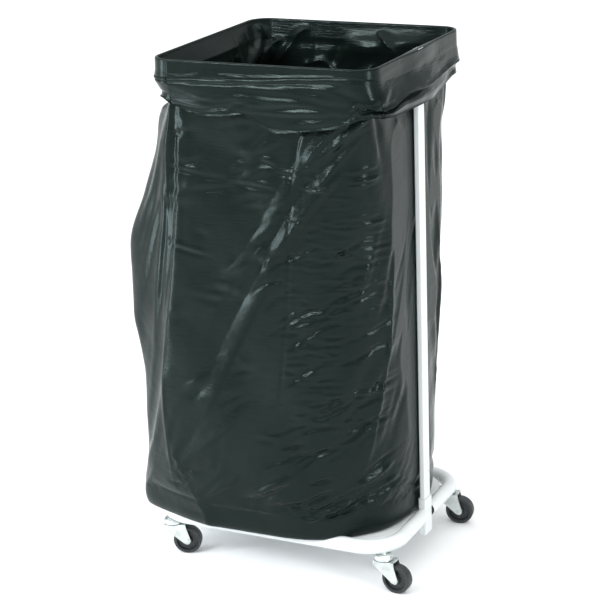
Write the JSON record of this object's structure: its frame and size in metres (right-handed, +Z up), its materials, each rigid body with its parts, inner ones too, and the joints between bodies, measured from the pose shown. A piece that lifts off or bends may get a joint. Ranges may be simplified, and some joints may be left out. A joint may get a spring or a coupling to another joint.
{
  "type": "plastic bag holder",
  "caption": "Wheeled stand that holds a large plastic sack open: tube base with tray, one flat post, square strip rim and swivel casters.",
  "frame": {"origin": "on the floor, below the middle of the object's box", "axes": "+Z up, +X towards the side with the post, so -Y is the front"},
  "size_m": [0.5603, 0.408, 0.9],
  "materials": {
    "powder_coat": "semi-gloss white powder coat",
    "zinc": "bright zinc plate on pressed steel",
    "bearing_steel": "polished bearing steel",
    "wheel_plastic": "satin black moulded wheel",
    "black_plastic": "matte black plug",
    "film": "thin glossy black polyethylene film"
  },
  "bodies": {
    "frame": {"base_ring": "powder_coat", "base_tray": "powder_coat", "caster_inserts": "zinc", "post_socket": "powder_coat", "post": "powder_coat", "post_plug": "black_plastic", "post_lock_nut": "powder_coat", "post_lock_screw": "zinc", "rim_strip": "powder_coat", "plastic_bag": "film", "stem_front_right": "zinc", "race_cap_front_right": "zinc", "stem_front_left": "zinc", "race_cap_front_left": "zinc", "stem_rear_right": "zinc", "race_cap_rear_right": "zinc", "stem_rear_left": "zinc", "race_cap_rear_left": "zinc"},
    "fork_front_right": {"race_balls_front_right": "bearing_steel", "fork_front_right": "zinc", "axle_front_right": "zinc", "bush_front_right": "bearing_steel"},
    "wheel_front_right": {"wheel_front_right": "wheel_plastic"},
    "fork_front_left": {"race_balls_front_left": "bearing_steel", "fork_front_left": "zinc", "axle_front_left": "zinc", "bush_front_left": "bearing_steel"},
    "wheel_front_left": {"wheel_front_left": "wheel_plastic"},
    "fork_rear_right": {"race_balls_rear_right": "bearing_steel", "fork_rear_right": "zinc", "axle_rear_right": "zinc", "bush_rear_right": "bearing_steel"},
    "wheel_rear_right": {"wheel_rear_right": "wheel_plastic"},
    "fork_rear_left": {"race_balls_rear_left": "bearing_steel", "fork_rear_left": "zinc", "axle_rear_left": "zinc", "bush_rear_left": "bearing_steel"},
    "wheel_rear_left": {"wheel_rear_left": "wheel_plastic"}
  },
  "joints": [
    {"name": "swivel_front_right", "type": "hinge", "parent": "frame", "child": "fork_front_right", "pos_m": [0.22993, -0.14643, 0.057], "axis": [0, 0, 1], "continuous": true},
    {"name": "roll_front_right", "type": "hinge", "parent": "fork_front_right", "child": "wheel_front_right", "pos_m": [0.25489, -0.14774, 0.025], "axis": [0.0523, 0.9986, 0], "continuous": true},
    {"name": "swivel_front_left", "type": "hinge", "parent": "frame", "child": "fork_front_left", "pos_m": [-0.17493, -0.14643, 0.057], "axis": [0, 0, 1], "continuous": true},
    {"name": "roll_front_left", "type": "hinge", "parent": "fork_front_left", "child": "wheel_front_left", "pos_m": [-0.15143, -0.13788, 0.025], "axis": [-0.342, 0.9397, 0], "continuous": true},
    {"name": "swivel_rear_right", "type": "hinge", "parent": "frame", "child": "fork_rear_right", "pos_m": [0.22993, 0.14643, 0.057], "axis": [0, 0, 1], "continuous": true},
    {"name": "roll_rear_right", "type": "hinge", "parent": "fork_rear_right", "child": "wheel_rear_right", "pos_m": [0.25468, 0.14991, 0.025], "axis": [-0.1392, 0.9903, 0], "continuous": true},
    {"name": "swivel_rear_left", "type": "hinge", "parent": "frame", "child": "fork_rear_left", "pos_m": [-0.17493, 0.14643, 0.057], "axis": [0, 0, 1], "continuous": true},
    {"name": "roll_rear_left", "type": "hinge", "parent": "fork_rear_left", "child": "wheel_rear_left", "pos_m": [-0.15067, 0.14038, 0.025], "axis": [0.2419, 0.9703, 0], "continuous": true}
  ]
}
